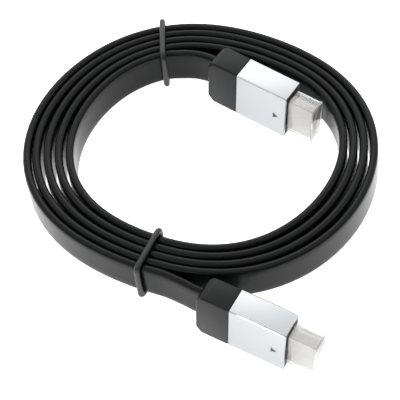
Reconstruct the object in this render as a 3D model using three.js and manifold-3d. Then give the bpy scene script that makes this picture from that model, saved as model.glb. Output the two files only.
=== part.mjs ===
// A flat audio-video cable, 1.5 m long, wound on edge into an oval coil and held by two elastic ties.
// Both ends carry the same plug: boot, aluminium sleeve, inner moulding, metal shell and clear cap.
// Units are millimetres and +Z is up. The coil's left side and the lower plug rest on the floor,
// and the cable holds the upper plug just clear of it.
import * as THREE from 'three';
import { mergeVertices } from 'three/addons/utils/BufferGeometryUtils.js';
import Module from 'manifold-3d';

// Flat cable
const CABLE_WIDTH = 14.0;         // height of the tape as it stands on edge
const CABLE_THICKNESS = 2.8;
const CABLE_EDGE_RADIUS = 1.3;

// Coil: an oval spiral that winds inward, clockwise from above. Angles are in degrees.
const COIL_CENTRE = new THREE.Vector2(1.3, 10.15);
const OVAL_MEAN_RADIUS = 57.3;
const OVAL_SWELL = 3.8;           // long and short half-axes are the mean plus and minus this
const OVAL_LEAN = -20;            // direction of the long axis
const OVAL_SQUARENESS = 0.66;
const SQUARE_LEAN = 13.4;
const OVAL_TAPER = 0.35;          // one end of the oval is blunter than the other
const TAPER_LEAN = 14;
const WHOLE_TURNS = 4;
const START_ANGLE = -109;         // where the lower lead joins the coil
const END_ANGLE = 108;            // where the coil leaves for the upper plug
const TURN_GAP = 0.2;             // between turns that a tie draws together
const COIL_TILT = 4.5;            // right side up

// Where the turns spread between the ties: the extra pitch there, and how many outer turns stay together
const SLACKS = [
  { middle: 176, halfWidth: 70, extraPitch: 0.85, tightTurns: 0.9 },
  { middle: -35, halfWidth: 75, extraPitch: 0.75, tightTurns: 0 },
];
const COIL_REST_HEIGHT = 0.15;    // lowest edge of the coil above the floor

// Plug, measured along its own axis from the back of the sleeve
const PLUG_HEIGHT = 20.5;
const PLUG_THICKNESS = 9.6;
const SLEEVE_LENGTH = 19.9;
const SLEEVE_WALL = 1.0;
const SLEEVE_EDGE = 0.7;
const BOOT_LENGTH = 12.0;
const BOOT_CORNER_RADIUS = 3.2;
const BOOT_EDGE = 0.8;
const SLOT_DEPTH = 4.0;
const CABLE_IN_SLOT = 3.2;
const MOULD_RECESS = 0.9;         // the inner moulding's face behind the sleeve's rim
const SHELL_HEIGHT = 13.9;
const SHELL_THICKNESS = 4.45;
const SHELL_CHAMFER = 1.2;
const SHELL_WALL = 0.45;
const SHELL_REACH = 9.2;          // past the sleeve's rim
const SHELL_SEAT = 2.4;           // length of shell inside the moulding
const TONGUE_RECESS = 0.8;
const TONGUE_SLOT_HEIGHT = 11.0;
const TONGUE_SLOT_WIDTH = 2.0;
const TONGUE_SLOT_DEPTH = 7.6;
const CAP_WALL = 0.5;
const CAP_END = 0.7;
const CAP_EDGE = 0.4;
const CAP_LIP = 0.3;              // the pull lip stands out past the cap's far side
const CAP_LIP_LENGTH = 1.0;

// Clearances between neighbours
const SEAT_GAP = 0.3;
const SLOT_SIDE_GAP = 0.5;
const SLOT_END_GAP = 1.0;
const TIE_GAP = 0.3;
const OVERSHOOT = 1.0;            // how far a cutting solid passes the face that it opens

// Plug places: the back of the sleeve, its height above the floor and the way that the plug points
const LOWER_PLUG_OUTSIDE = 6.75;  // outside the near side of the oval's mean circle
const UPPER_PLUG_INSIDE = 26.8;   // inside the far side of it
const PLUGS = {
  lower: { x: 11.3, y: COIL_CENTRE.y - OVAL_MEAN_RADIUS - LOWER_PLUG_OUTSIDE, lift: 0, yaw: -28.1 },
  upper: { x: 15.4, y: COIL_CENTRE.y + OVAL_MEAN_RADIUS - UPPER_PLUG_INSIDE, lift: 2.3, yaw: -33.2 },
};
const CABLE_ENTRY_RISE = 1.0;     // the cable enters each boot this much above its middle

// Elastic ties: place around the coil and turn away from square to the cable, in degrees
const TIES = {
  lower: { angle: -112.2, slant: -3 },
  upper: { angle: 106.5, slant: -15 },
};
const TIE_DIAMETER = 2.0;

// The cable between coil and boots, in the coil's own plane, chosen by eye from the photograph
const LOWER_LEAD = [[-1.9, -46.8, -0.65], [-5.6, -44.6, -0.3], [-11.2, -41.6, 0]];
const UPPER_LEAD = [[-7.2, 51.7, 0.15], [-2.0, 50.9, 0.6], [2.6, 48.95, 1.1]];

// Facets
const STEPS_PER_TURN = 48;
const CABLE_CORNER_STEPS = 2;
const SLEEVE_CORNER_STEPS = 3;
const INNER_CORNER_STEPS = 2;
const TIE_CORNER_STEPS = 4;
const BOOT_CORNER_STEPS = 5;
const BOOT_EDGE_STEPS = 2;

const rad = THREE.MathUtils.degToRad;
const wasm = await Module();
wasm.setup();

// Booleans
function toManifold(geometry) {
  const bare = geometry.clone();
  bare.deleteAttribute('normal');
  bare.deleteAttribute('uv');
  const merged = mergeVertices(bare, 1e-4);
  return new wasm.Manifold(new wasm.Mesh({
    numProp: 3,
    vertProperties: new Float32Array(merged.attributes.position.array),
    triVerts: new Uint32Array(merged.index.array),
  }));
}

function toGeometry(manifold) {
  const mesh = manifold.getMesh();
  const geometry = new THREE.BufferGeometry();
  geometry.setAttribute('position', new THREE.BufferAttribute(new Float32Array(mesh.vertProperties), 3));
  geometry.setIndex(new THREE.BufferAttribute(new Uint32Array(mesh.triVerts), 1));
  geometry.computeVertexNormals();
  return geometry;
}

function cut(geometry, ...tools) {
  let solid = toManifold(geometry);
  for (const tool of tools) solid = solid.subtract(toManifold(tool));
  return toGeometry(solid);
}

// Outlines
function roundedRectangle(width, height, radius, steps) {
  const shape = new THREE.Shape();
  const corners = [[1, 1, 0], [-1, 1, 90], [-1, -1, 180], [1, -1, 270]];
  const points = [];
  for (const [sx, sy, from] of corners) {
    for (let i = 0; i <= steps; i++) {
      const angle = rad(from + 90 * i / steps);
      points.push(new THREE.Vector2(
        sx * (width / 2 - radius) + radius * Math.cos(angle),
        sy * (height / 2 - radius) + radius * Math.sin(angle)));
    }
  }
  shape.setFromPoints(points);
  return shape;
}

// The connector's section: a rectangle with two of its long side's corners cut off
function shellOutline(grow) {
  const h = SHELL_HEIGHT / 2 + grow;
  const t = SHELL_THICKNESS / 2 + grow;
  const c = SHELL_CHAMFER;
  return new THREE.Shape([
    new THREE.Vector2(-t, -h), new THREE.Vector2(t - c, -h), new THREE.Vector2(t, -h + c),
    new THREE.Vector2(t, h - c), new THREE.Vector2(t - c, h), new THREE.Vector2(-t, h),
  ]);
}

// Extrudes an outline drawn across the plug, along the plug's axis from start to end
function alongPlug(shape, start, end) {
  const geometry = new THREE.ExtrudeGeometry(shape, { depth: end - start, bevelEnabled: false });
  geometry.translate(0, 0, start);
  geometry.applyMatrix4(new THREE.Matrix4().makeBasis(
    new THREE.Vector3(0, 1, 0), new THREE.Vector3(0, 0, 1), new THREE.Vector3(1, 0, 0)));
  return geometry.translate(0, 0, PLUG_HEIGHT / 2);
}

// Plug pieces, in the plug's own frame: x along the axis, y through its thickness, z up
const mouldEnd = SLEEVE_LENGTH - MOULD_RECESS;
const shellStart = mouldEnd - SHELL_SEAT;
const shellEnd = SLEEVE_LENGTH + SHELL_REACH;

function bootGeometry() {
  const h = PLUG_HEIGHT / 2;
  const r = BOOT_CORNER_RADIUS;
  const back = -BOOT_LENGTH;
  const shape = new THREE.Shape();
  shape.moveTo(-SEAT_GAP, -h);
  shape.lineTo(-SEAT_GAP, h);
  shape.lineTo(back + r, h);
  shape.absarc(back + r, h - r, r, Math.PI / 2, Math.PI, false);
  shape.lineTo(back, -h + r);
  shape.absarc(back + r, -h + r, r, Math.PI, 1.5 * Math.PI, false);
  const body = new THREE.ExtrudeGeometry(shape, {
    depth: PLUG_THICKNESS - 2 * BOOT_EDGE, bevelSize: BOOT_EDGE, bevelThickness: BOOT_EDGE,
    bevelOffset: -BOOT_EDGE, bevelSegments: BOOT_EDGE_STEPS, curveSegments: BOOT_CORNER_STEPS,
  });
  body.translate(0, 0, BOOT_EDGE - PLUG_THICKNESS / 2);
  body.rotateX(Math.PI / 2);
  body.translate(0, 0, h);
  const slot = new THREE.BoxGeometry(
    2 * SLOT_DEPTH, CABLE_THICKNESS + 2 * SLOT_SIDE_GAP, CABLE_WIDTH + 2 * SLOT_END_GAP);
  slot.translate(back, 0, h + CABLE_ENTRY_RISE);
  return cut(body, slot);
}

function sleeveGeometry() {
  const outer = alongPlug(
    roundedRectangle(PLUG_THICKNESS, PLUG_HEIGHT, SLEEVE_EDGE, SLEEVE_CORNER_STEPS), 0, SLEEVE_LENGTH);
  const bore = alongPlug(
    roundedRectangle(
      PLUG_THICKNESS - 2 * SLEEVE_WALL, PLUG_HEIGHT - 2 * SLEEVE_WALL, SLEEVE_EDGE, INNER_CORNER_STEPS),
    -OVERSHOOT, SLEEVE_LENGTH + OVERSHOOT);
  return cut(outer, bore);
}

function mouldGeometry() {
  const inset = 2 * (SLEEVE_WALL + SEAT_GAP);
  const body = alongPlug(
    roundedRectangle(PLUG_THICKNESS - inset, PLUG_HEIGHT - inset, SLEEVE_EDGE, INNER_CORNER_STEPS),
    0, mouldEnd);
  return cut(body, alongPlug(shellOutline(SEAT_GAP), shellStart - SEAT_GAP, mouldEnd + OVERSHOOT));
}

function shellGeometry() {
  const bore = alongPlug(shellOutline(-SHELL_WALL), shellStart + SHELL_WALL, shellEnd + OVERSHOOT);
  return cut(alongPlug(shellOutline(0), shellStart, shellEnd), bore);
}

function tongueGeometry() {
  const end = shellEnd - TONGUE_RECESS;
  const body = alongPlug(
    shellOutline(-SHELL_WALL - SEAT_GAP), shellStart + SHELL_WALL + SEAT_GAP, end);
  const slot = new THREE.BoxGeometry(2 * TONGUE_SLOT_DEPTH, TONGUE_SLOT_WIDTH, TONGUE_SLOT_HEIGHT);
  slot.translate(end, 0, PLUG_HEIGHT / 2);
  return cut(body, slot);
}

function capGeometry() {
  const wall = SEAT_GAP + CAP_WALL;
  const height = SHELL_HEIGHT + 2 * wall;
  const thickness = SHELL_THICKNESS + 2 * wall;
  const end = shellEnd + SEAT_GAP + CAP_END;
  const body = toManifold(alongPlug(
    roundedRectangle(thickness, height, CAP_EDGE, INNER_CORNER_STEPS), SLEEVE_LENGTH + SEAT_GAP, end));
  const lip = new THREE.BoxGeometry(CAP_LIP_LENGTH, CAP_LIP + thickness / 2, height);
  lip.translate(end - CAP_LIP_LENGTH / 2, (CAP_LIP + thickness / 2) / 2, PLUG_HEIGHT / 2);
  const bore = alongPlug(shellOutline(SEAT_GAP), SLEEVE_LENGTH + SEAT_GAP - OVERSHOOT, shellEnd + SEAT_GAP);
  return toGeometry(body.add(toManifold(lip)).subtract(toManifold(bore)));
}

// Cable line, in the coil's own plane: x and y across the coil, z along its axis
function sectorWeight(angle, centre, halfWidth) {
  const away = Math.abs(THREE.MathUtils.euclideanModulo(angle - centre + 180, 360) - 180);
  return away < halfWidth ? Math.cos(rad(90 * away / halfWidth)) ** 2 : 0;
}

function coilRadius(angle, turn) {
  const outline = OVAL_MEAN_RADIUS
    + OVAL_SWELL * Math.cos(2 * rad(angle - OVAL_LEAN))
    - OVAL_TAPER * Math.cos(3 * rad(angle - TAPER_LEAN))
    + OVAL_SQUARENESS * Math.cos(4 * rad(angle - SQUARE_LEAN));
  let inward = (CABLE_THICKNESS + TURN_GAP) * turn;
  for (const { middle, halfWidth, extraPitch, tightTurns } of SLACKS) {
    inward += extraPitch * sectorWeight(angle, middle, halfWidth) * Math.max(0, turn - tightTurns);
  }
  return outline - inward;
}

function coilPoint(turn) {
  const angle = START_ANGLE - 360 * turn;
  const radius = coilRadius(angle, turn);
  return new THREE.Vector3(
    COIL_CENTRE.x + radius * Math.cos(rad(angle)), COIL_CENTRE.y + radius * Math.sin(rad(angle)), 0);
}

// Turns from the start of the coil to an angle, within its first turn
function turnsTo(angle) {
  return THREE.MathUtils.euclideanModulo(START_ANGLE - angle, 360) / 360;
}

const coilTurns = WHOLE_TURNS + turnsTo(END_ANGLE);

// The coil leans on its left side, so its plane rises to the right
const coil = new THREE.Group();
const leftEdge = COIL_CENTRE.x - coilRadius(180, turnsTo(180)) - CABLE_THICKNESS / 2;
coil.rotation.y = -rad(COIL_TILT);
coil.position.z = COIL_REST_HEIGHT - leftEdge * Math.sin(rad(COIL_TILT))
  + CABLE_WIDTH / 2 * Math.cos(rad(COIL_TILT));
coil.updateMatrixWorld(true);

// A point on a plug's axis in the coil's own plane, a distance behind the sleeve
function behindSleeve(place, distance) {
  const yaw = rad(place.yaw);
  return coil.worldToLocal(new THREE.Vector3(
    place.x - distance * Math.cos(yaw), place.y - distance * Math.sin(yaw),
    place.lift + PLUG_HEIGHT / 2 + CABLE_ENTRY_RISE));
}

function cableLine() {
  const seat = BOOT_LENGTH - CABLE_IN_SLOT;
  const points = [behindSleeve(PLUGS.lower, seat), behindSleeve(PLUGS.lower, BOOT_LENGTH)];
  points.push(...LOWER_LEAD.map((p) => new THREE.Vector3(...p)));
  const count = Math.round(coilTurns * STEPS_PER_TURN);
  for (let i = 0; i <= count; i++) points.push(coilPoint(coilTurns * i / count));
  points.push(...UPPER_LEAD.map((p) => new THREE.Vector3(...p)));
  points.push(behindSleeve(PLUGS.upper, BOOT_LENGTH), behindSleeve(PLUGS.upper, seat));
  const line = new THREE.CatmullRomCurve3(points, false, 'centripetal');
  line.arcLengthDivisions = 10 * points.length;
  return { line, steps: points.length - 1 };
}

function cableGeometry() {
  const { line, steps } = cableLine();
  const section = roundedRectangle(CABLE_WIDTH, CABLE_THICKNESS, CABLE_EDGE_RADIUS, CABLE_CORNER_STEPS);
  return new THREE.ExtrudeGeometry(section, { steps, extrudePath: line, bevelEnabled: false });
}

// An elastic tie: a flat ring of octagonal cord around all the turns that pass its place
function tieGeometry(angle, slant) {
  const outer = coilRadius(angle, turnsTo(angle)) + CABLE_THICKNESS / 2;
  const inner = coilRadius(angle, turnsTo(angle) + WHOLE_TURNS) - CABLE_THICKNESS / 2;
  const width = (outer - inner) / Math.cos(rad(slant)) + 2 * TIE_GAP;
  const height = CABLE_WIDTH + 2 * TIE_GAP;
  const ring = roundedRectangle(
    width + 2 * TIE_DIAMETER, height + 2 * TIE_DIAMETER, CABLE_EDGE_RADIUS + TIE_DIAMETER, TIE_CORNER_STEPS);
  ring.holes.push(roundedRectangle(width, height, CABLE_EDGE_RADIUS, TIE_CORNER_STEPS));
  const edge = TIE_DIAMETER * (1 - Math.SQRT1_2);
  const geometry = new THREE.ExtrudeGeometry(ring, {
    depth: TIE_DIAMETER - 2 * edge, bevelSize: edge, bevelThickness: edge, bevelOffset: -edge,
    bevelSegments: 1,
  });
  geometry.translate(0, 0, edge - TIE_DIAMETER / 2);
  geometry.rotateX(Math.PI / 2);
  return { geometry, radius: (outer + inner) / 2 };
}

// Assembly
const cable = new THREE.Group();

function addPiece(parent, name, geometry, color, roughness, metalness = 0) {
  const material = new THREE.MeshStandardMaterial({ color, roughness, metalness });
  const piece = new THREE.Mesh(geometry, material);
  piece.name = name;
  parent.add(piece);
  return piece;
}

cable.add(coil);
addPiece(coil, 'flat_cable', cableGeometry(), 0x1b1c1e, 0.42);

for (const [end, { angle, slant }] of Object.entries(TIES)) {
  const { geometry, radius } = tieGeometry(angle, slant);
  const tie = addPiece(coil, `${end}_tie`, geometry, 0x131416, 0.6);
  tie.position.set(
    COIL_CENTRE.x + radius * Math.cos(rad(angle)), COIL_CENTRE.y + radius * Math.sin(rad(angle)), 0);
  tie.rotation.z = rad(angle + slant);
}

for (const [end, place] of Object.entries(PLUGS)) {
  const plug = new THREE.Group();
  plug.position.set(place.x, place.y, place.lift);
  plug.rotation.z = rad(place.yaw);
  cable.add(plug);
  addPiece(plug, `${end}_boot`, bootGeometry(), 0x2c2d2f, 0.55);
  addPiece(plug, `${end}_sleeve`, sleeveGeometry(), 0xd9dbde, 0.32, 0.9);
  addPiece(plug, `${end}_inner_mould`, mouldGeometry(), 0x3a3b3c, 0.6);
  addPiece(plug, `${end}_connector_shell`, shellGeometry(), 0xcfc8bc, 0.3, 1);
  addPiece(plug, `${end}_contact_block`, tongueGeometry(), 0x1d1d1d, 0.6);
  const cap = addPiece(plug, `${end}_dust_cap`, capGeometry(), 0xe8ebe8, 0.15);
  cap.material.transparent = true;
  cap.material.opacity = 0.45;
}

// The origin is the middle of the footprint, on the floor
const bounds = new THREE.Box3().setFromObject(cable, true);
const middle = bounds.getCenter(new THREE.Vector3());
cable.position.set(-middle.x, -middle.y, -bounds.min.z);
cable.updateMatrixWorld(true);

export default cable;
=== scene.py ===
# %% [markdown]
# A flat audio-video cable, a metre and a half of black tape, is wound on edge into an oval coil.
# Two elastic ties hold it, and each end carries the same capped plug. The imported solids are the
# fixed frame: what is built here sits exactly where they say. Everything is in metres.

# %% The frame and the shared values
import math
import bmesh
import bpy
from mathutils import Matrix, Vector


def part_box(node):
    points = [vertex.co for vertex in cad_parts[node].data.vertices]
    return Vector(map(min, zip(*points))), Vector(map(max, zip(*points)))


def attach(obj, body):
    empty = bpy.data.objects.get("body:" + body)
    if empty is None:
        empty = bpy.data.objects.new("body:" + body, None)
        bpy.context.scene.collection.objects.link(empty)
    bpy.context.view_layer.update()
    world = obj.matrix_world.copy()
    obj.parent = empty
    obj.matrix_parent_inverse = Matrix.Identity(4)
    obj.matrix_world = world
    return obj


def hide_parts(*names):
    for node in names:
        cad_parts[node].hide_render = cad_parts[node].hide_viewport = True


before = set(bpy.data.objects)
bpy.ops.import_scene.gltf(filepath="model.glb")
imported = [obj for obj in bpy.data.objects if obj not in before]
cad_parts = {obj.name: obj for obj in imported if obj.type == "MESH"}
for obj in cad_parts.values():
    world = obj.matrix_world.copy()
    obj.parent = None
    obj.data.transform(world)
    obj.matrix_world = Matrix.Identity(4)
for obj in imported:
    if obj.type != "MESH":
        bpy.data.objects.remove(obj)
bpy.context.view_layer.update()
MM = 0.001
PLUG_ENDS = ("lower", "upper")


def centre_of(node):
    low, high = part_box(node)
    return (Vector(low) + Vector(high)) / 2


print("solids:", sorted(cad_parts))

# %% [markdown]
# The part's own origin is the middle of its footprint. The photograph was framed on a point a
# little away from it, and the coil and plugs were placed from that point. The middle of one sleeve
# is known in both, so it gives the step between them.

# %% Plug places, and the step from the framing point to the part's origin
PLUG_YAW = {"lower": math.radians(-28.1), "upper": math.radians(-33.2)}
PLUG_PLACE = {"lower": Vector((11.3, -53.9, 0)) * MM, "upper": Vector((15.4, 40.65, 2.3)) * MM}
PLUG_HEIGHT = 20.5 * MM
PLUG_THICKNESS = 9.6 * MM
SLEEVE_LENGTH = 19.9 * MM
BOOT_LENGTH = 12.0 * MM


def plug_axis(end):
    return Vector((math.cos(PLUG_YAW[end]), math.sin(PLUG_YAW[end]), 0))


sleeve_middle = PLUG_PLACE["lower"] + plug_axis("lower") * SLEEVE_LENGTH / 2
ORIGIN_STEP = centre_of("lower_sleeve") - sleeve_middle
ORIGIN_STEP.z = 0
print("origin step (mm):", [round(v / MM, 2) for v in ORIGIN_STEP])


def plug_matrix(end):
    """Turns a piece made along X, with the sleeve's back at the origin, into its place."""
    return Matrix.Translation(PLUG_PLACE[end] + ORIGIN_STEP) @ Matrix.Rotation(PLUG_YAW[end], 4, "Z")


# %% [markdown]
# The camera comes first, so that every later step can be compared with the photograph. It is a
# long lens, about 54 degrees above the floor, looking straight along +Y at the framing point.

# %% Camera
CAMERA_ELEVATION = math.radians(54.05)
CAMERA_DISTANCE = 562 * MM
SENSOR_WIDTH = 36.0
FOCAL_LENGTH_PX = 1629
FRAME_PX = 400

bpy.ops.object.camera_add()
camera = bpy.context.object
camera.name = "photo_camera"
camera.data.sensor_width = SENSOR_WIDTH
camera.data.lens = FOCAL_LENGTH_PX / FRAME_PX * SENSOR_WIDTH
camera.data.clip_start = 0.05
camera.data.clip_end = 20
camera.rotation_euler = (math.pi / 2 - CAMERA_ELEVATION, 0, 0)
camera.location = ORIGIN_STEP + CAMERA_DISTANCE * Vector(
    (0, -math.cos(CAMERA_ELEVATION), math.sin(CAMERA_ELEVATION)))
bpy.context.scene.camera = camera
print("lens (mm):", round(camera.data.lens, 1))

# %% [markdown]
# The tape's line is a spiral that winds inward on an oval, clockwise seen from above. A formula
# gives the turns, and a few listed points give the leads to the two boots. The whole coil
# leans on its left edge, so its plane rises to the right.

# %% The cable's line
CABLE_WIDTH = 14.0
CABLE_THICKNESS = 2.8
COIL_CENTRE = Vector((1.3, 10.15, 0))
OVAL_MEAN_RADIUS = 57.3
OVAL_WAVES = ((2, 3.8, -20), (3, -0.35, 14), (4, 0.66, 13.4))   # bumps round the oval, height, lean
WHOLE_TURNS, STEPS_PER_TURN = 4, 48
START_ANGLE, END_ANGLE = -109, 108
TURN_GAP = 0.2
SLACKS = ((176, 70, 0.85, 0.9), (-35, 75, 0.75, 0))   # middle, half width, extra pitch, tight turns
COIL_TILT = math.radians(4.5)
COIL_REST_HEIGHT = 0.15
CABLE_IN_SLOT = 3.2
CABLE_ENTRY_RISE = 1.0
LOWER_LEAD = [(-1.9, -46.8, -0.65), (-5.6, -44.6, -0.3), (-11.2, -41.6, 0)]
UPPER_LEAD = [(-7.2, 51.7, 0.15), (-2.0, 50.9, 0.6), (2.6, 48.95, 1.1)]


def sector_weight(angle, centre, half_width):
    away = abs((angle - centre + 180) % 360 - 180)
    return math.cos(math.radians(90 * away / half_width)) ** 2 if away < half_width else 0.0


def coil_radius(angle, turn):
    outline = OVAL_MEAN_RADIUS
    for bumps, height, lean in OVAL_WAVES:
        outline += height * math.cos(bumps * math.radians(angle - lean))
    inward = (CABLE_THICKNESS + TURN_GAP) * turn
    for middle, half_width, extra_pitch, tight_turns in SLACKS:
        inward += extra_pitch * sector_weight(angle, middle, half_width) * max(0.0, turn - tight_turns)
    return outline - inward


def turns_to(angle):
    """Turns from the start of the coil to an angle, within its first turn."""
    return (START_ANGLE - angle) % 360 / 360


def coil_point(turn):
    angle = START_ANGLE - 360 * turn
    radius = coil_radius(angle, turn)
    return COIL_CENTRE + radius * Vector(
        (math.cos(math.radians(angle)), math.sin(math.radians(angle)), 0))


# %% The coil's own plane
left_edge = COIL_CENTRE.x - coil_radius(180, turns_to(180)) - CABLE_THICKNESS / 2
coil_height = (COIL_REST_HEIGHT - left_edge * math.sin(COIL_TILT)
               + CABLE_WIDTH / 2 * math.cos(COIL_TILT))
coil_matrix = (Matrix.Translation(ORIGIN_STEP) @ Matrix.Scale(MM, 4)
               @ Matrix.Translation((0, 0, coil_height)) @ Matrix.Rotation(-COIL_TILT, 4, "Y"))
coil_axis = (coil_matrix.to_3x3() @ Vector((0, 0, 1))).normalized()


def behind_sleeve(end, distance):
    """A point on the plug's axis, a distance in millimetres behind the sleeve."""
    place = plug_matrix(end) @ Vector((-distance * MM, 0, 0))
    place.z += PLUG_HEIGHT / 2 + CABLE_ENTRY_RISE * MM
    return place


# %% The points that the line goes through
coil_turns = WHOLE_TURNS + turns_to(END_ANGLE)
turn_steps = round(coil_turns * STEPS_PER_TURN)
boot_mm = BOOT_LENGTH / MM
cable_stops = [behind_sleeve("lower", boot_mm - CABLE_IN_SLOT), behind_sleeve("lower", boot_mm)]
cable_stops += [coil_matrix @ Vector(p) for p in LOWER_LEAD]
cable_stops += [coil_matrix @ coil_point(coil_turns * i / turn_steps) for i in range(turn_steps + 1)]
cable_stops += [coil_matrix @ Vector(p) for p in UPPER_LEAD]
cable_stops += [behind_sleeve("upper", boot_mm), behind_sleeve("upper", boot_mm - CABLE_IN_SLOT)]

# %% One smooth line through all of them


def smooth_line(stops, parts):
    """Points on a smooth curve through all the stops."""
    line = []
    for i in range(len(stops) - 1):
        a, b = stops[max(i - 1, 0)], stops[i]
        c, d = stops[i + 1], stops[min(i + 2, len(stops) - 1)]
        for k in range(parts):
            t = k / parts
            line.append(0.5 * (2 * b + (c - a) * t + (2 * a - 5 * b + 4 * c - d) * t * t
                               + (3 * b - a - 3 * c + d) * t ** 3))
    return line + [stops[-1]]


cable_line = smooth_line(cable_stops, parts=2)
cable_length = sum((b - a).length for a, b in zip(cable_line, cable_line[1:]))
print("cable length (m):", round(cable_length, 3))

# %% [markdown]
# A helper that every material uses: it adds one node, fills its sockets and wires it up.
# Colours are typed as the sRGB hex value that the eye sees, and turned to linear once.

# %% Material helpers
GRAIN_DETAIL, GRAIN_ROUGHNESS = 3.0, 0.6   # how much finer grain lies on the coarse one


def linear(hex_colour):
    """A hex colour such as 1c1c1e as linear RGBA."""
    parts = [int(hex_colour[i:i + 2], 16) / 255 for i in (0, 2, 4)]
    return [p / 12.92 if p <= 0.04045 else ((p + 0.055) / 1.055) ** 2.4 for p in parts] + [1.0]


def add_node(material, kind, links=None, settings=None, **inputs):
    """Adds a node. links maps an input to another node's output, inputs are socket values."""
    node = material.node_tree.nodes.new(kind)
    for name, value in (settings or {}).items():
        setattr(node, name, value)
    for name, value in inputs.items():
        node.inputs[name.replace("_", " ")].default_value = value
    for name, socket in (links or {}).items():
        material.node_tree.links.new(socket, node.inputs[name])
    return node


def new_material(name, colour, roughness, metallic=0.0, ior=1.5, **sockets):
    """A named material with its Principled shader set up. sockets name its other sockets."""
    material = bpy.data.materials.new(name)
    material.use_nodes = True
    shader = material.node_tree.nodes["Principled BSDF"]
    shader.inputs["Base Color"].default_value = linear(colour)
    shader.inputs["Roughness"].default_value = roughness
    shader.inputs["Metallic"].default_value = metallic
    shader.inputs["IOR"].default_value = ior
    for socket, value in sockets.items():
        shader.inputs[socket.replace("_", " ")].default_value = value
    return material


def add_grain(material, grain_mm, depth_mm, strength=1.0):
    """Fine moulded or blasted grain as bump, with its size in millimetres."""
    place = add_node(material, "ShaderNodeTexCoord")
    noise = add_node(material, "ShaderNodeTexNoise", {"Vector": place.outputs["Object"]},
                     Scale=1 / (grain_mm * MM), Detail=GRAIN_DETAIL, Roughness=GRAIN_ROUGHNESS)
    bump = add_node(material, "ShaderNodeBump", {"Height": noise.outputs["Fac"]},
                    Strength=strength, Distance=depth_mm * MM)
    shader = material.node_tree.nodes["Principled BSDF"]
    material.node_tree.links.new(bump.outputs["Normal"], shader.inputs["Normal"])


# %% [markdown]
# The tape is extruded PVC: nearly black, with the satin of a clean die. Its flat sides mirror the
# white table as a grey sheen, which is brightest where they turn away from the eye. Its roughness
# is fairly low, and its specular level is turned down until the sheen is as dim as the real one.

# %% Satin black PVC for the tape
cable_pvc = new_material("satin_black_pvc", "0d0e0f", 0.22, ior=1.53, Specular_IOR_Level=0.13)
add_grain(cable_pvc, grain_mm=0.35, depth_mm=0.012, strength=0.5)

# %% [markdown]
# The tape is a swept section: flat sides, and edges rounded almost to half circles. A mesh is
# built ring by ring, because each ring must stand square to the line and upright in the coil.

# %% The flat cable
EDGE_RADIUS = 1.3
EDGE_STEPS = 5
SIDE_STEPS = 6


def tape_section():
    """Points round the tape's section: width along the first value, thickness along the second."""
    corner_w = CABLE_WIDTH / 2 - EDGE_RADIUS
    corner_t = CABLE_THICKNESS / 2 - EDGE_RADIUS
    points = []
    for quarter, (sw, st) in enumerate(((1, 1), (-1, 1), (-1, -1), (1, -1))):
        for k in range(EDGE_STEPS):
            angle = math.radians(90 * (quarter + k / (EDGE_STEPS - 1)))
            points.append((sw * corner_w + EDGE_RADIUS * math.cos(angle),
                           st * corner_t + EDGE_RADIUS * math.sin(angle)))
        if quarter % 2 == 0:
            start = points[-1][0]
            for k in range(1, SIDE_STEPS):
                points.append((start * (1 - 2 * k / SIDE_STEPS), st * CABLE_THICKNESS / 2))
    return points


def build_cable():
    section = tape_section()
    verts, faces = [], []
    count = len(section)
    for i, here in enumerate(cable_line):
        ahead = cable_line[min(i + 1, len(cable_line) - 1)] - cable_line[max(i - 1, 0)]
        ahead.normalize()
        across = coil_axis.cross(ahead).normalized()
        up = ahead.cross(across)
        verts += [here + MM * (w * up + t * across) for w, t in section]
    for i in range(len(cable_line) - 1):
        for k in range(count):
            a, b = i * count + k, i * count + (k + 1) % count
            faces.append((a, b, b + count, a + count))
    faces.append(tuple(range(count - 1, -1, -1)))
    last = (len(cable_line) - 1) * count
    faces.append(tuple(range(last, last + count)))
    mesh = bpy.data.meshes.new("cable_tape")
    mesh.from_pydata(verts, [], faces)
    mesh.update()
    tape = bpy.data.objects.new("cable_tape", mesh)
    bpy.context.collection.objects.link(tape)
    return tape


def only(piece):
    """Makes one piece the selected and active one."""
    bpy.ops.object.select_all(action="DESELECT")
    piece.select_set(True)
    bpy.context.view_layer.objects.active = piece


cable_tape = build_cable()
only(cable_tape)
bpy.ops.object.mode_set(mode="EDIT")
bpy.ops.mesh.select_all(action="SELECT")
bpy.ops.mesh.normals_make_consistent(inside=False)
bpy.ops.object.mode_set(mode="OBJECT")
bpy.ops.object.shade_smooth_by_angle(angle=math.radians(40))
cable_tape.data.materials.append(cable_pvc)
print("tape faces:", len(cable_tape.data.polygons))

# %% [markdown]
# The plug pieces are modelled once, lying along X with the sleeve's back at the origin, and then
# copied into both plugs. These helpers do what a hand does in edit mode: pick faces or edges by
# where they are, and leave everything else unselected.

# %% Helpers that start a piece and pick its faces
ALONG = 0.9   # a direction with more than this along an axis counts as lying along it
NEAR = 0.2    # millimetres within which an edge counts as lying at a place


def add_block(name, x_from, x_to, thickness, height, rise=0.0):
    """A block along X, centred across its thickness, as the start of a piece. Millimetres."""
    bpy.ops.object.select_all(action="DESELECT")
    bpy.ops.mesh.primitive_cube_add(
        size=1, location=((x_from + x_to) / 2 * MM, 0, (rise + height / 2) * MM))
    piece = bpy.context.object
    piece.name = name
    piece.scale = ((x_to - x_from) * MM, thickness * MM, height * MM)
    bpy.ops.object.transform_apply(location=True, rotation=True, scale=True)
    return piece


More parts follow.
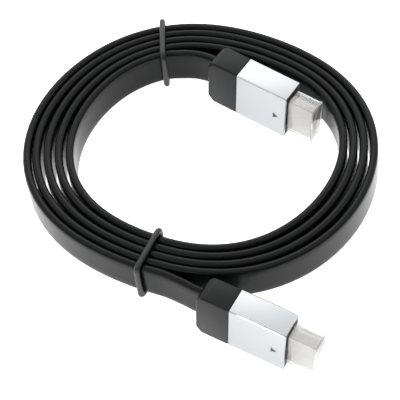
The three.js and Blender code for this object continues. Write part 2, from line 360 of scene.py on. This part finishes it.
def pick(piece, faces=None, edges=None):
    """In edit mode, selects the faces or edges for which a test on the middle and direction holds."""
    mesh = bmesh.from_edit_mesh(piece.data)
    for item in list(mesh.verts) + list(mesh.edges) + list(mesh.faces):
        item.select = False
    if faces:
        bpy.ops.mesh.select_mode(type="FACE")
        for face in mesh.faces:
            face.select = bool(faces(face.calc_center_median() / MM, face.normal))
    if edges:
        bpy.ops.mesh.select_mode(type="EDGE")
        for edge in mesh.edges:
            a, b = (v.co for v in edge.verts)
            edge.select = bool(edges((a + b) / 2 / MM, (b - a).normalized()))
    mesh.select_flush_mode()
    bmesh.update_edit_mesh(piece.data)


def start_edit(piece):
    """Opens a piece in edit mode with nothing selected."""
    only(piece)
    bpy.ops.object.mode_set(mode="EDIT")
    bpy.ops.mesh.select_all(action="DESELECT")


# %% Helpers that finish a piece and place it


def round_edges(piece, width, segments=3, angle=30):
    """A bevel on every edge sharper than the angle, applied. Width in millimetres."""
    only(piece)
    bevel = piece.modifiers.new("rounded_edges", "BEVEL")
    bevel.width = width * MM
    bevel.segments = segments
    bevel.limit_method = "ANGLE"
    bevel.angle_limit = math.radians(angle)
    bpy.ops.object.modifier_apply(modifier=bevel.name)


def smooth(piece, angle=35):
    """Shades a piece smooth, with its sharper edges kept."""
    only(piece)
    bpy.ops.object.shade_smooth_by_angle(angle=math.radians(angle))


def put_in_plugs(piece, name, material, replaced=None):
    """Copies a finished piece into both plugs, each copy with its own mesh, and returns them."""
    copies = {}
    for end in PLUG_ENDS:
        mesh = piece.data.copy()
        mesh.transform(plug_matrix(end))
        copy = bpy.data.objects.new(f"{end}_{name}", mesh)
        bpy.context.collection.objects.link(copy)
        if not mesh.materials:
            mesh.materials.append(material)
        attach(copy, "root")
        if replaced:
            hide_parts(f"{end}_{replaced}")
        copies[end] = copy
    print(name, "in each plug:", len(piece.data.polygons), "faces")
    bpy.data.objects.remove(piece)
    return copies


# %% [markdown]
# The boot is soft PVC moulded over the end of the tape. Its two back corners are rounded in a wide
# curve, every other edge has a small radius, and the tape goes into a slot in its back face. The
# slot is an inset face pushed inwards, made before the corners are rounded.

# %% Charcoal PVC and the boots
boot_pvc = new_material("moulded_charcoal_pvc", "111213", 0.33, ior=1.53, Specular_IOR_Level=0.18)
add_grain(boot_pvc, grain_mm=0.22, depth_mm=0.01, strength=0.5)

JOINT_GAP = 0.12
BOOT_INSET = 0.1
BOOT_CORNER = 3.2
BOOT_EDGE = 0.7
SLOT_SIDE = 2.75
SLOT_DEPTH = 4.0
height = PLUG_HEIGHT / MM
thickness = PLUG_THICKNESS / MM

boot = add_block("boot", -boot_mm, -JOINT_GAP, thickness - 2 * BOOT_INSET, height - BOOT_INSET)
start_edit(boot)
pick(boot, faces=lambda at, normal: normal.x < -ALONG)
bpy.ops.mesh.inset(thickness=SLOT_SIDE * MM)
bpy.ops.mesh.extrude_region_move(TRANSFORM_OT_translate={"value": (SLOT_DEPTH * MM, 0, 0)})
pick(boot, edges=lambda at, way: abs(way.y) > ALONG and at.x < NEAR - boot_mm
     and abs(at.z - height / 2) > height / 2 - NEAR)
bpy.ops.mesh.bevel(offset=BOOT_CORNER * MM, segments=8, affect="EDGES")
bpy.ops.object.mode_set(mode="OBJECT")
round_edges(boot, BOOT_EDGE, segments=4)
smooth(boot)
boots = put_in_plugs(boot, "boot_cover", boot_pvc, "boot")

# %% [markdown]
# The sleeve is a short length of aluminium tube, bead blasted and anodised, with its four long
# edges cut bright afterwards. A block loses its two end faces, its long edges are bevelled, and
# Solidify gives the wall. The narrow bevel faces get their own brighter finish.

# %% Anodised aluminium and the sleeves
satin_aluminium = new_material("blasted_anodised_aluminium", "b3b6b8", 0.42, metallic=1.0)
add_grain(satin_aluminium, grain_mm=0.12, depth_mm=0.004, strength=0.4)
cut_aluminium = new_material("diamond_cut_aluminium", "eef0f2", 0.18, metallic=1.0)

SLEEVE_WALL = 0.8
SLEEVE_CHAMFER = 0.45
RIM_ROUND = 0.12
sleeve_mm = SLEEVE_LENGTH / MM

sleeve = add_block("sleeve", 0, sleeve_mm, thickness, height)
start_edit(sleeve)
pick(sleeve, faces=lambda at, normal: abs(normal.x) > ALONG)
bpy.ops.mesh.delete(type="FACE")
pick(sleeve, edges=lambda at, way: abs(way.x) > ALONG)
bpy.ops.mesh.bevel(offset=SLEEVE_CHAMFER * MM, segments=1, affect="EDGES")
bpy.ops.object.mode_set(mode="OBJECT")
only(sleeve)
wall = sleeve.modifiers.new("wall", "SOLIDIFY")
wall.thickness = SLEEVE_WALL * MM
wall.offset = -1
wall.use_even_offset = True
bpy.ops.object.modifier_apply(modifier=wall.name)
sleeve.data.materials.append(satin_aluminium)
sleeve.data.materials.append(cut_aluminium)
for face in sleeve.data.polygons:
    slanted = abs(face.normal.y) > 0.3 and abs(face.normal.z) > 0.3
    outer = abs(face.center.y) > (thickness / 2 - SLEEVE_CHAMFER) * MM
    face.material_index = 1 if slanted and outer else 0
round_edges(sleeve, RIM_ROUND, segments=2)
smooth(sleeve, 25)
sleeves = put_in_plugs(sleeve, "sleeve_tube", satin_aluminium, "sleeve")

# %% [markdown]
# A small dark triangle is printed near the tip on the wide face. It is a plain orientation mark,
# made as a three-sided disc, thin as ink, just proud of the metal.

# %% The printed orientation mark
dark_ink = new_material("dark_pad_printed_ink", "3c4248", 0.5)
MARK_LENGTH, MARK_HEIGHT = 2.1, 2.7
MARK_TIP, MARK_DROP = 2.7, 0.8   # from its point to the sleeve's rim, and below the middle
MARK_PROUD = 0.02
mark_radius = MARK_LENGTH * 2 / 3   # the circle round a triangle reaches two thirds of its length
mark_middle = sleeve_mm - MARK_TIP - mark_radius
bpy.ops.object.select_all(action="DESELECT")
bpy.ops.mesh.primitive_cylinder_add(
    vertices=3, radius=mark_radius * MM, depth=2 * MARK_PROUD * MM,
    location=(mark_middle * MM, -thickness / 2 * MM, (height / 2 - MARK_DROP) * MM),
    rotation=(math.pi / 2, math.pi / 2, 0))
mark = bpy.context.object
mark.dimensions.x = MARK_HEIGHT * MM
bpy.ops.object.transform_apply(location=True, rotation=True, scale=True)
print("mark (mm):", [round(v / MM, 2) for v in mark.dimensions])
put_in_plugs(mark, "arrow_mark", dark_ink)

# %% [markdown]
# The connector shell is thin nickel-plated steel folded to the standard section, with two corners
# cut off on one wide side. The front face is taken away and Solidify turns the skin into sheet.

# %% Nickel-plated steel and the connector shells
nickel_steel = new_material("nickel_plated_steel", "c0bab4", 0.3, metallic=1.0)
add_grain(nickel_steel, grain_mm=0.4, depth_mm=0.003, strength=0.3)

SHELL_HEIGHT, SHELL_THICKNESS, SHELL_CHAMFER, SHELL_SHEET = 13.9, 4.45, 1.2, 0.35
SHELL_REACH, SHELL_SEAT, MOULD_RECESS = 9.2, 2.4, 0.9
SHELL_CORNER, SHELL_RIM_ROUND = 0.35, 0.08
shell_from = sleeve_mm - MOULD_RECESS - SHELL_SEAT
shell_to = sleeve_mm + SHELL_REACH

shell = add_block("shell", shell_from, shell_to, SHELL_THICKNESS, SHELL_HEIGHT,
                  rise=(height - SHELL_HEIGHT) / 2)
start_edit(shell)
pick(shell, faces=lambda at, normal: normal.x > ALONG)
bpy.ops.mesh.delete(type="FACE")
pick(shell, edges=lambda at, way: abs(way.x) > ALONG and at.y > 0)
bpy.ops.mesh.bevel(offset=SHELL_CHAMFER * MM, segments=1, affect="EDGES")
pick(shell, edges=lambda at, way: abs(way.x) > ALONG)
bpy.ops.mesh.bevel(offset=SHELL_CORNER * MM, segments=3, affect="EDGES")
bpy.ops.object.mode_set(mode="OBJECT")
only(shell)
wall = shell.modifiers.new("sheet", "SOLIDIFY")
wall.thickness = SHELL_SHEET * MM
wall.offset = -1
wall.use_even_offset = True
bpy.ops.object.modifier_apply(modifier=wall.name)
round_edges(shell, SHELL_RIM_ROUND, segments=2, angle=50)
smooth(shell)
shells = put_in_plugs(shell, "shell_sheet", nickel_steel, "connector_shell")

# %% [markdown]
# Nineteen gold contacts sit in the slot of the contact block, ten on one side and nine between
# them on the other. For each side one spring blade is shaped, and an Array modifier repeats it.

# %% Gold contacts
contact_gold = new_material("gold_plated_bronze", "d9ad54", 0.25, metallic=1.0)
CONTACT_WIDTH, CONTACT_SHEET, CONTACT_PITCH = 0.45, 0.2, 1.0
CONTACT_LENGTH, CONTACT_BACK, CONTACT_EDGE = 5.6, 1.6, 0.04
NOSE_LENGTH, NOSE_LEAN = 0.6, 0.12    # each blade's tip bends towards the slot's wall
SLOT_HALF, BLADE_TO_WALL = 1.0, 0.12
for side, count in ((-1, 10), (1, 9)):
    top = shell_to - CONTACT_BACK
    blade = add_block("blade", top - CONTACT_LENGTH, top, CONTACT_SHEET, CONTACT_WIDTH,
                      rise=height / 2 - (count - 1) * CONTACT_PITCH / 2 - CONTACT_WIDTH / 2)
    start_edit(blade)
    pick(blade, faces=lambda at, normal: normal.x > ALONG)
    bpy.ops.mesh.extrude_region_move(
        TRANSFORM_OT_translate={"value": (NOSE_LENGTH * MM, side * NOSE_LEAN * MM, 0)})
    bpy.ops.mesh.select_all(action="SELECT")
    bpy.ops.transform.translate(value=(0, side * (SLOT_HALF - BLADE_TO_WALL) * MM, 0))
    bpy.ops.object.mode_set(mode="OBJECT")
    only(blade)
    row = blade.modifiers.new("row", "ARRAY")
    row.count = count
    row.use_relative_offset = False
    row.use_constant_offset = True
    row.constant_offset_displace = (0, 0, CONTACT_PITCH * MM)
    bpy.ops.object.modifier_apply(modifier=row.name)
    round_edges(blade, CONTACT_EDGE, segments=1)
    name = "near_contacts" if side < 0 else "far_contacts"
    put_in_plugs(blade, name, contact_gold)

# %% [markdown]
# The dust cap is clear soft polyethylene: a thin-walled box that slides over the shell, with a
# thicker closed end and a small lip to pull it by. The hollow is an inset face pushed back into
# the block. Light goes through it, a little blurred, and picks out its edges.

# %% Clear polyethylene and the dust caps
clear_cap = new_material("clear_polyethylene", "fafbfa", 0.09, ior=1.5, Transmission_Weight=0.82)

CAP_GAP, CAP_WALL, CAP_END, CAP_EDGE = 0.3, 0.5, 0.7, 0.12
CAP_LIP, CAP_LIP_LENGTH = 0.3, 1.0
cap_wall = CAP_GAP + CAP_WALL
cap_from = sleeve_mm + CAP_GAP
cap_to = shell_to + CAP_GAP + CAP_END
cap_height = SHELL_HEIGHT + 2 * cap_wall
cap_thickness = SHELL_THICKNESS + 2 * cap_wall
cap = add_block("cap", cap_from, cap_to - CAP_LIP_LENGTH, cap_thickness, cap_height,
                rise=(height - cap_height) / 2)
start_edit(cap)
pick(cap, faces=lambda at, normal: normal.x > ALONG)
bpy.ops.mesh.extrude_region_move(TRANSFORM_OT_translate={"value": (CAP_LIP_LENGTH * MM, 0, 0)})
pick(cap, faces=lambda at, normal: normal.y > ALONG and at.x > cap_to - CAP_LIP_LENGTH)
bpy.ops.mesh.extrude_region_move(TRANSFORM_OT_translate={"value": (0, CAP_LIP * MM, 0)})
pick(cap, faces=lambda at, normal: normal.x < -ALONG and at.x < cap_from + NEAR)
bpy.ops.mesh.inset(thickness=CAP_WALL * MM)
bpy.ops.mesh.extrude_region_move(
    TRANSFORM_OT_translate={"value": ((cap_to - cap_from - CAP_END) * MM, 0, 0)})
bpy.ops.object.mode_set(mode="OBJECT")
round_edges(cap, CAP_EDGE, segments=2)
smooth(cap)
caps = put_in_plugs(cap, "clear_cap", clear_cap, "dust_cap")

# %% [markdown]
# Two solids of each plug keep their own shape and only get a finish: the inner moulding, whose
# dark face shows inside the sleeve's rim, and the contact block in the shell.

# %% Dark plastics on the kept solids
mould_plastic = new_material("moulded_dark_grey_abs", "4a4c4d", 0.55, ior=1.53)
add_grain(mould_plastic, grain_mm=0.2, depth_mm=0.008)
contact_plastic = new_material("black_glass_filled_nylon", "161616", 0.6, ior=1.53)
add_grain(contact_plastic, grain_mm=0.15, depth_mm=0.006)
for end in PLUG_ENDS:
    for node, material in (("inner_mould", mould_plastic), ("contact_block", contact_plastic)):
        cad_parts[f"{end}_{node}"].material_slots[0].material = material

# %% [markdown]
# Each tie is an endless loop of round elastic cord, stretched round the bundle. A flat outline
# with rounded corners is turned into a curve, the curve gets the cord's thickness, and it goes
# round all the turns that pass its place.

# %% Black elastic and the two ties
elastic = new_material("black_elastic_rubber", "161718", 0.42, ior=1.52)
add_grain(elastic, grain_mm=0.3, depth_mm=0.015, strength=0.6)

TIE_DIAMETER, TIE_GAP = 2.0, 0.15
TIE_CORNER = 1.9
TIES = {"lower": (-112.2, -3), "upper": (106.5, -15)}

for end, (angle, slant) in TIES.items():
    outer = coil_radius(angle, turns_to(angle)) + CABLE_THICKNESS / 2
    inner = coil_radius(angle, turns_to(angle) + WHOLE_TURNS) - CABLE_THICKNESS / 2
    width = (outer - inner) / math.cos(math.radians(slant)) + 2 * TIE_GAP + TIE_DIAMETER
    tall = CABLE_WIDTH + 2 * TIE_GAP + TIE_DIAMETER
    bpy.ops.object.select_all(action="DESELECT")
    bpy.ops.mesh.primitive_plane_add(size=1)
    tie = bpy.context.object
    tie.name = f"{end}_elastic_tie"
    tie.scale = (width, tall, 1)
    bpy.ops.object.transform_apply(location=False, rotation=False, scale=True)
    bpy.ops.object.mode_set(mode="EDIT")
    bpy.ops.mesh.select_mode(type="VERT")
    bpy.ops.mesh.select_all(action="SELECT")
    bpy.ops.mesh.bevel(offset=TIE_CORNER, segments=7, affect="VERTICES")
    bpy.ops.mesh.delete(type="ONLY_FACE")
    bpy.ops.object.mode_set(mode="OBJECT")
    bpy.ops.object.convert(target="CURVE")
    tie = bpy.context.object
    tie.data.bevel_depth = TIE_DIAMETER / 2
    tie.data.bevel_resolution = 5
    bpy.ops.object.convert(target="MESH")
    tie = bpy.context.object
    middle = COIL_CENTRE + (outer + inner) / 2 * Vector(
        (math.cos(math.radians(angle)), math.sin(math.radians(angle)), 0))
    tie.data.transform(coil_matrix @ Matrix.Translation(middle)
                       @ Matrix.Rotation(math.radians(angle + slant), 4, "Z")
                       @ Matrix.Rotation(math.pi / 2, 4, "X"))
    tie.data.materials.clear()
    tie.data.materials.append(elastic)
    smooth(tie, 60)
    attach(tie, "root")
    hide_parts(f"{end}_tie")
    print(f"{end} tie round the turns (mm): {width:.1f} by {tall:.1f}")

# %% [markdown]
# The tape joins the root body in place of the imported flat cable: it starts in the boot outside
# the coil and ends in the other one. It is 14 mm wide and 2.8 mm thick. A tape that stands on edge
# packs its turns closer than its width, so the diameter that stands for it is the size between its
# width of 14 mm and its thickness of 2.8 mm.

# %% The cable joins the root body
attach(cable_tape, "root")
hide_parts("flat_cable")

# %% [markdown]
# The object lies on a light table: an opal white sheet lit from below as well as from above, so
# its shadows vanish, as in a catalogue picture. Upright faces mirror the table and turn light
# towards grazing angles. Level tops mirror the studio's back wall. The wall in front is dim, so
# every edge that faces the camera is drawn as a thin dark line.

# %% The light table
TABLE_SIZE = 6
TABLE_DROP = 0.05 * MM   # a hair below the object, so that no faces lie in one plane
bpy.ops.object.select_all(action="DESELECT")
bpy.ops.mesh.primitive_plane_add(size=TABLE_SIZE, location=(0, 0, -TABLE_DROP))
floor = bpy.context.object
floor.name = "light_table"
opal_white = new_material("opal_white_acrylic", "f7f7f7", 0.9, Specular_IOR_Level=0.1,
                          Emission_Color=(1, 1, 1, 1), Emission_Strength=1.0)
floor.data.materials.append(opal_white)

# %% Studio walls
DIM_WALL, BRIGHT_WALL = 0.35, 1.35
DIM_BELOW, BRIGHT_ABOVE = -0.2, 0.8   # of the direction's Y and Z parts added together
world = bpy.data.worlds.new("studio")
bpy.context.scene.world = world
world.use_nodes = True
direction = add_node(world, "ShaderNodeTexCoord")
parts = add_node(world, "ShaderNodeSeparateXYZ", {"Vector": direction.outputs["Generated"]})
up_and_back = add_node(world, "ShaderNodeMath", settings={"operation": "ADD"})
world.node_tree.links.new(parts.outputs["Y"], up_and_back.inputs[0])
world.node_tree.links.new(parts.outputs["Z"], up_and_back.inputs[1])
strength = add_node(world, "ShaderNodeMapRange", {"Value": up_and_back.outputs["Value"]},
                    {"interpolation_type": "SMOOTHSTEP"},
                    From_Min=DIM_BELOW, From_Max=BRIGHT_ABOVE, To_Min=DIM_WALL, To_Max=BRIGHT_WALL)
world.node_tree.nodes["Background"].inputs["Color"].default_value = (1, 1, 1, 1)
world.node_tree.links.new(strength.outputs["Result"],
                          world.node_tree.nodes["Background"].inputs["Strength"])

# %% [markdown]
# Two softboxes hang in the studio. A wide one at the back whitens the upper sleeve's top. A small
# one stands low at the front left, where only the lower sleeve's near cut edge mirrors it, so that
# edge is drawn white and the upper sleeve's stays dark.

# %% Softboxes


def hang_softbox(name, place, size, watts, target):
    """A rectangular lamp that faces a target. Its place and size are in metres."""
    bpy.ops.object.light_add(type="AREA", location=place)
    softbox = bpy.context.object
    softbox.name = name
    softbox.data.shape = "RECTANGLE"
    softbox.data.size, softbox.data.size_y = size
    softbox.data.energy = watts
    softbox.rotation_euler = (target - Vector(place)).to_track_quat("-Z", "Y").to_euler()


hang_softbox("back_softbox", place=(0.0, 0.55, 0.5), size=(0.6, 0.4), watts=1.2,
             target=centre_of("upper_sleeve"))
hang_softbox("edge_softbox", place=(-0.33, -0.49, 0.24), size=(0.33, 0.12), watts=0.42,
             target=centre_of("lower_sleeve"))

# The floor must print as plain white, so light is shown as it is, with no film curve.
bpy.context.scene.view_settings.view_transform = "Standard"
